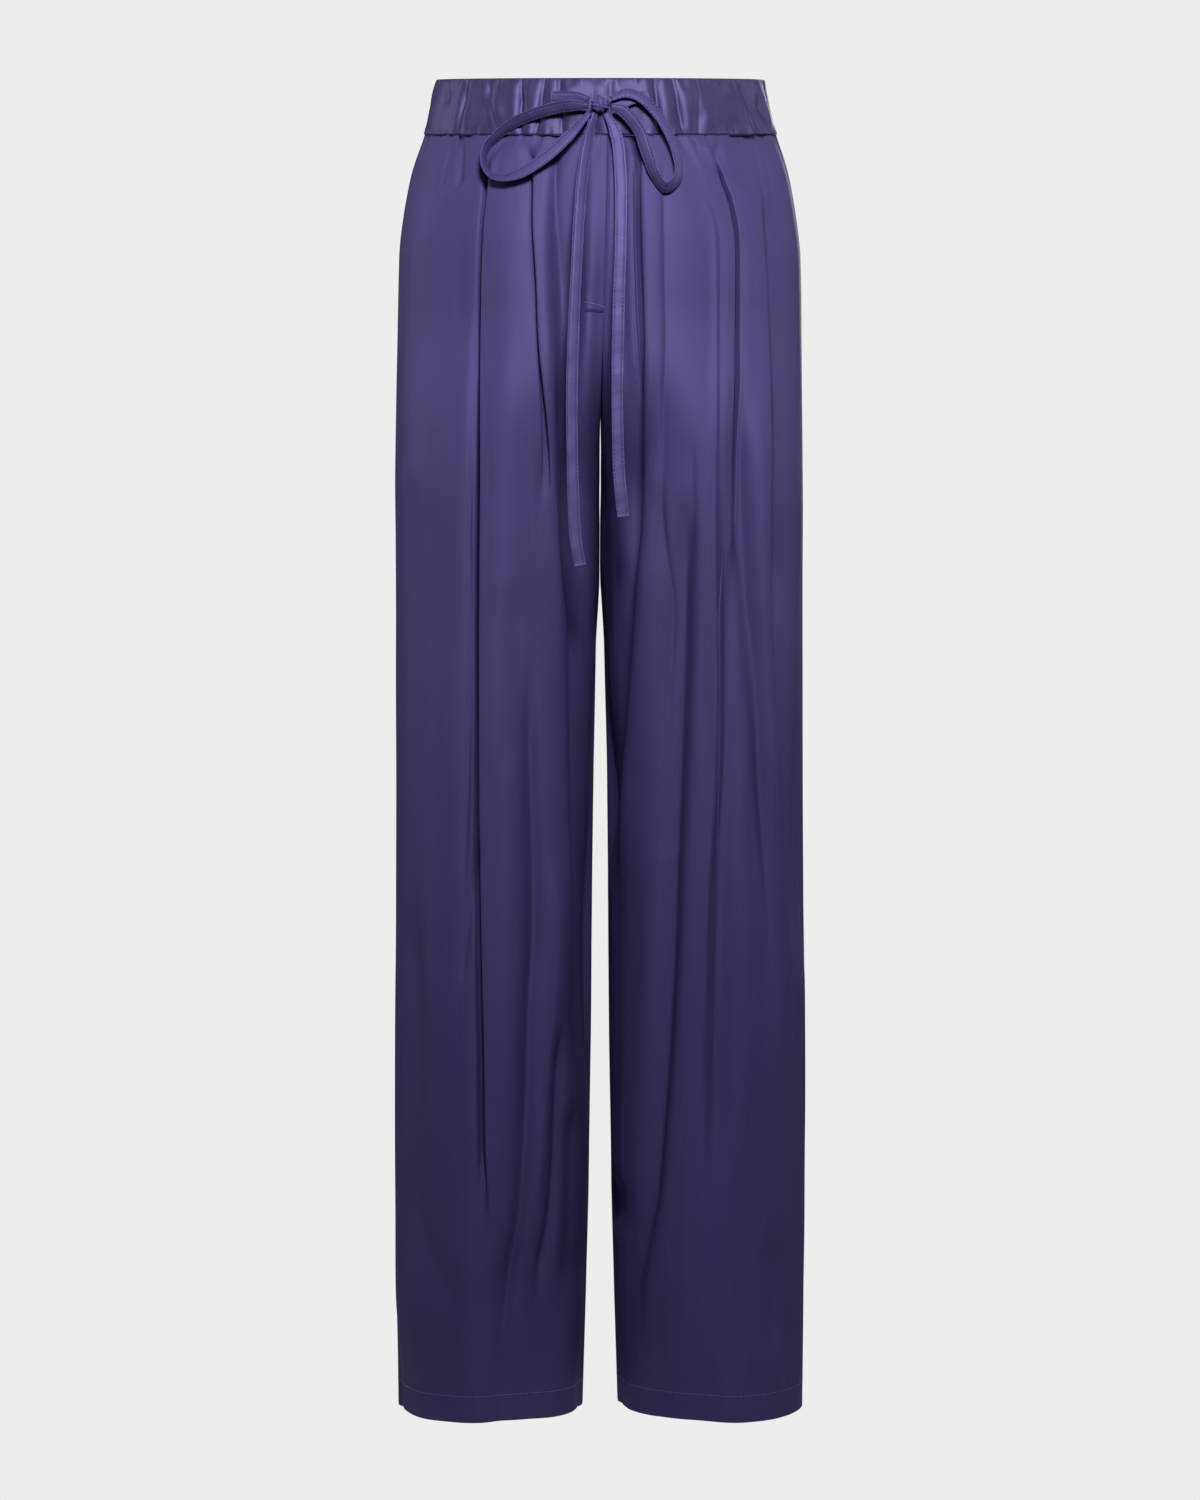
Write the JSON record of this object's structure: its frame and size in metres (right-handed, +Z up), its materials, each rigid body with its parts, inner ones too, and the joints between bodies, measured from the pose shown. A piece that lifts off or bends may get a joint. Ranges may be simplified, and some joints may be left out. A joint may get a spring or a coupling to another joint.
{
  "type": "pyjama pants",
  "caption": "Wide straight satin pyjama pants with a gathered drawstring waistband, soft front pleats and turned hems, filled out as worn and held at the waist.",
  "frame": {"origin": "middle of the waist, halfway up the waistband, where the wearer holds the pants", "axes": "+Z up along the legs towards the waist, the front faces -Y, the wearer's left is +X"},
  "size_m": [0.3272, 0.255, 1.0694],
  "materials": {
    "satin": "indigo purple silk satin, soft sheen",
    "band_satin": "the same satin, folded and gathered over elastic",
    "ribbon_satin": "flat tube of the same satin, stitched along both edges"
  },
  "bodies": {
    "root": {"front_panel_right": "satin", "front_panel_left": "satin", "back_panel_right": "satin", "back_panel_left": "satin", "fly_flap": "satin", "waistband": "band_satin", "drawstring_knot": "ribbon_satin", "drawstring_tail_right": "ribbon_satin", "drawstring_tail_left": "ribbon_satin", "drawstring_loop_right": "ribbon_satin", "drawstring_loop_left": "ribbon_satin", "drawstring_strand_right": "ribbon_satin", "drawstring_strand_left": "ribbon_satin"}
  },
  "joints": []
}
